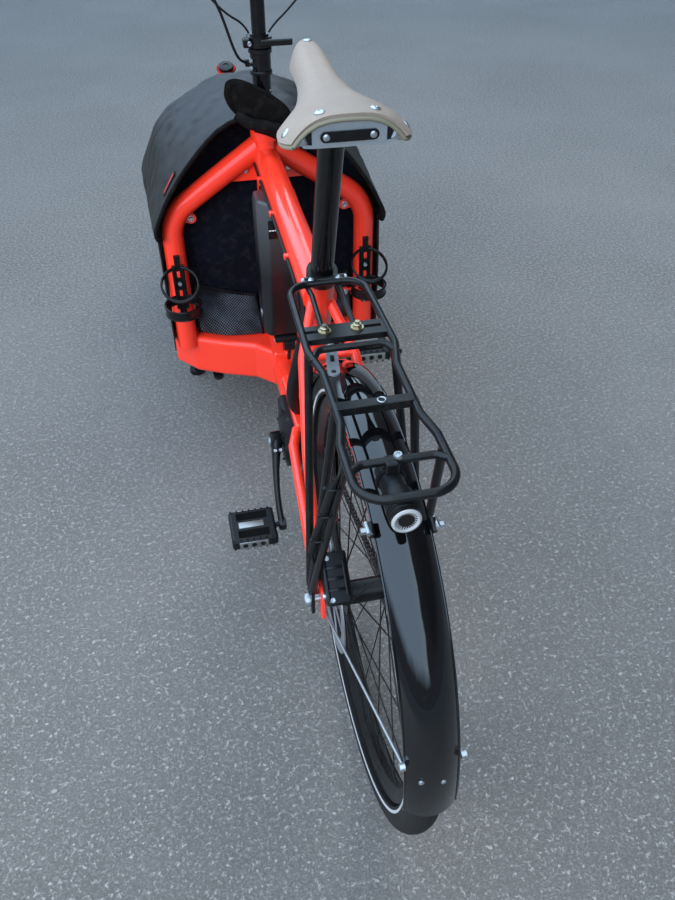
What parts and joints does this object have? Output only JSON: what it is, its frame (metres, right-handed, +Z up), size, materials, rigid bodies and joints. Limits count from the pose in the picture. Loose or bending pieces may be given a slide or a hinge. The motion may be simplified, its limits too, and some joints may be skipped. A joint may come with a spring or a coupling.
{
  "type": "front-loading electric cargo bike",
  "caption": "Front-loading cargo bike with a covered cargo box ahead of the rider, linked steering, rear rack, battery and a centre stand.",
  "frame": {"origin": "on the ground, at the middle of the bike's length and width", "axes": "+Y forward, +Z up, +X to the rider's right"},
  "size_m": [0.6532, 2.5669, 1.155],
  "materials": {
    "frame_paint": "gloss",
    "black_plastic": "satin",
    "black_coat": "satin",
    "steel": "satin",
    "tyre": "matte",
    "grip_rubber": "matte",
    "cover_fabric": "matte",
    "saddle_canvas": "matte",
    "floor_board": "matte"
  },
  "bodies": {
    "frame": {"seat_tube": "frame_paint", "main_tube": "frame_paint", "column_tube": "frame_paint", "lower_beam": "frame_paint", "spine": "frame_paint", "hoop": "frame_paint", "chainstays": "frame_paint", "seatstays": "frame_paint", "front_frame": "frame_paint", "motor": "black_plastic", "battery": "black_plastic", "battery_mount": "black_plastic", "chain": "steel", "rear_axle": "steel", "rear_fender": "black_coat", "fender_stays": "steel", "rack": "black_coat", "rear_lamp": "black_plastic", "rear_brake": "black_coat", "seat_post": "black_coat", "seat_collar": "black_coat", "saddle_clamp": "black_coat", "saddle_rails": "steel", "saddle_irons": "steel", "saddle_top": "saddle_canvas", "bottle_cages": "black_plastic", "frame_cables": "grip_rubber", "cargo_floor": "floor_board", "side_walls": "cover_fabric", "rear_panel": "cover_fabric", "front_wall": "cover_fabric", "canopy": "cover_fabric"},
    "rear_wheel": {"rear_tyre": "tyre", "rear_rim": "black_coat", "rear_hub": "black_coat", "rear_disc": "steel", "rear_sprocket": "steel"},
    "handlebar": {"steering_mast": "black_coat", "mast_clamp": "black_coat", "stem": "black_coat", "handlebar": "black_coat", "grips": "grip_rubber", "brake_levers": "black_plastic", "bar_hoses": "grip_rubber"},
    "steering_lever": {"steering_lever": "black_coat"},
    "tie_rod": {"tie_rod": "black_coat"},
    "fork": {"fork": "black_coat", "front_axle": "steel", "front_fender": "black_coat", "headlamp": "black_plastic", "front_brake": "black_coat"},
    "front_wheel": {"front_tyre": "tyre", "front_rim": "black_coat", "front_hub": "black_coat", "front_disc": "steel"},
    "crank": {"crankset": "black_coat", "chainring": "black_coat"},
    "left_pedal": {"left_pedal": "black_plastic"},
    "right_pedal": {"right_pedal": "black_plastic"},
    "centre_stand": {"centre_stand": "black_coat"}
  },
  "joints": [
    {"name": "steering", "type": "hinge", "parent": "frame", "child": "fork", "pos_m": [0, 0.85302, 0.6], "axis": [0, -0.342, 0.9397], "range_deg": [-30, 30]},
    {"name": "handlebar_turn", "type": "hinge", "parent": "frame", "child": "handlebar", "pos_m": [0, -0.0075, 0.7], "axis": [0, 0, 1], "range_deg": [-30, 30]},
    {"name": "lever_turn", "type": "hinge", "parent": "frame", "child": "steering_lever", "pos_m": [0, 0.04054, 0.118], "axis": [0, -0.342, 0.9397], "range_deg": [-30, 30]},
    {"name": "rod_swing", "type": "hinge", "parent": "steering_lever", "child": "tie_rod", "pos_m": [-0.155, 0.04054, 0.118], "axis": [0, -0.342, 0.9397], "range_deg": [-30, 30]},
    {"name": "front_wheel_spin", "type": "hinge", "parent": "fork", "child": "front_wheel", "pos_m": [0, 1.0255, 0.258], "axis": [1, 0, 0], "continuous": true},
    {"name": "rear_wheel_spin", "type": "hinge", "parent": "frame", "child": "rear_wheel", "pos_m": [0, -0.9195, 0.353], "axis": [1, 0, 0], "continuous": true},
    {"name": "crank_spin", "type": "hinge", "parent": "frame", "child": "crank", "pos_m": [0, -0.4565, 0.289], "axis": [1, 0, 0], "continuous": true},
    {"name": "left_pedal_spin", "type": "hinge", "parent": "crank", "child": "left_pedal", "pos_m": [-0.11, -0.57227, 0.16456], "axis": [1, 0, 0], "continuous": true},
    {"name": "right_pedal_spin", "type": "hinge", "parent": "crank", "child": "right_pedal", "pos_m": [0.11, -0.34073, 0.41344], "axis": [1, 0, 0], "continuous": true},
    {"name": "stand_fold", "type": "hinge", "parent": "frame", "child": "centre_stand", "pos_m": [0, 0.2055, 0.168], "axis": [1, 0, 0], "range_deg": [-85, 0]}
  ],
  "couplings": [
    {"joint": "handlebar_turn", "follows": "steering", "ratio": 1},
    {"joint": "lever_turn", "follows": "steering", "ratio": 1},
    {"joint": "rod_swing", "follows": "steering", "ratio": -1}
  ]
}
